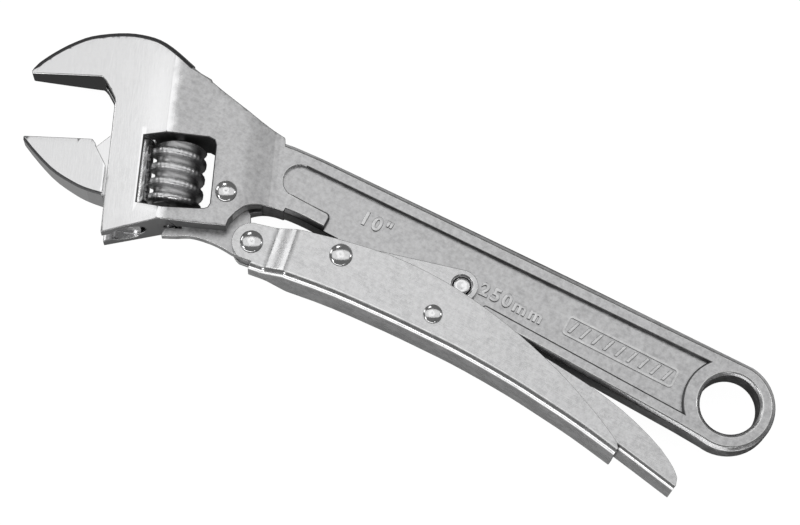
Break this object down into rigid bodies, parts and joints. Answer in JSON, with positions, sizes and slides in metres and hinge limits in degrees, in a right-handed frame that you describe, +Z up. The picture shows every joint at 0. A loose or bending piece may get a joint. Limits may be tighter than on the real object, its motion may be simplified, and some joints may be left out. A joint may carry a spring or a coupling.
{
  "type": "locking adjustable wrench",
  "caption": "Adjustable wrench with a worm-driven sliding jaw and an over-centre hand lever that clamps and locks it, with a release lever in its tail.",
  "frame": {"origin": "bottom centre of the bounding box, with the wrench lying on its back", "axes": "+X from the jaws to the hang hole along the handle, +Y to the fixed jaw's side, +Z up through the wrench's thickness"},
  "size_m": [0.257, 0.0646, 0.02],
  "materials": {
    "plated_steel": "satin chrome plate over a forged, blasted surface; polished on the head's jaw end",
    "polished_steel": "polished chrome plate",
    "pressed_steel": "satin chrome plate on pressed sheet, brighter on the bends",
    "thread_steel": "turned and oiled steel",
    "rivet_steel": "bright formed rivet steel",
    "spring_steel": "drawn spring wire"
  },
  "bodies": {
    "frame": {"frame": "plated_steel", "head_rivet": "rivet_steel", "frame_pin": "rivet_steel"},
    "pin": {"worm_pin": "rivet_steel", "pin_spring": "spring_steel"},
    "worm": {"worm": "thread_steel"},
    "jaw": {"movable_jaw": "polished_steel"},
    "links": {"toggle_link_front": "pressed_steel", "toggle_link_rear": "pressed_steel", "link_spacer": "rivet_steel"},
    "lever": {"hand_lever": "pressed_steel", "toggle_rivet": "rivet_steel", "toggle_washer_front": "rivet_steel", "toggle_washer_rear": "rivet_steel", "lever_rivet": "rivet_steel", "crank_washer_front": "rivet_steel", "crank_washer_rear": "rivet_steel", "release_rivet": "rivet_steel", "release_sleeve": "rivet_steel", "release_spring": "spring_steel"},
    "crank": {"bell_crank": "plated_steel"},
    "release": {"release_lever": "pressed_steel"}
  },
  "joints": [
    {"name": "pin_thrust", "type": "slide", "parent": "frame", "child": "pin", "axis": [-0.3827, 0.9239, 0], "range_m": [-0.00125, 0]},
    {"name": "jaw_slide", "type": "slide", "parent": "pin", "child": "jaw", "axis": [-0.3827, 0.9239, 0], "range_m": [-0.008, 0.0205]},
    {"name": "worm_turn", "type": "hinge", "parent": "pin", "child": "worm", "pos_m": [-0.07158, -0.00394, 0.01], "axis": [-0.3827, 0.9239, 0], "range_deg": [-577, 1477]},
    {"name": "link_swing", "type": "hinge", "parent": "frame", "child": "links", "pos_m": [0.02408, 0.00556, 0.01], "axis": [0, 0, 1], "range_deg": [0, 14.5]},
    {"name": "lever_swing", "type": "hinge", "parent": "links", "child": "lever", "pos_m": [-0.01314, -0.00427, 0.01], "axis": [0, 0, 1], "range_deg": [-40, 0]},
    {"name": "crank_turn", "type": "hinge", "parent": "frame", "child": "crank", "pos_m": [-0.05437, -0.00255, 0.01], "axis": [0, 0, 1], "range_deg": [0, 14.5]},
    {"name": "release_press", "type": "hinge", "parent": "lever", "child": "release", "pos_m": [0.02056, -0.00774, 0.01], "axis": [0, 0, 1], "range_deg": [0, 8], "stiffness_Nm_per_rad": 0.6, "springref_deg": -20.05}
  ],
  "couplings": [
    {"joint": "worm_turn", "follows": "jaw_slide", "rad_per_m": 1256.6},
    {"joint": "link_swing", "follows": "lever_swing", "ratio": -0.355},
    {"joint": "crank_turn", "follows": "lever_swing", "ratio": -0.35},
    {"joint": "pin_thrust", "follows": "lever_swing", "m_per_rad": 0.0017188}
  ]
}
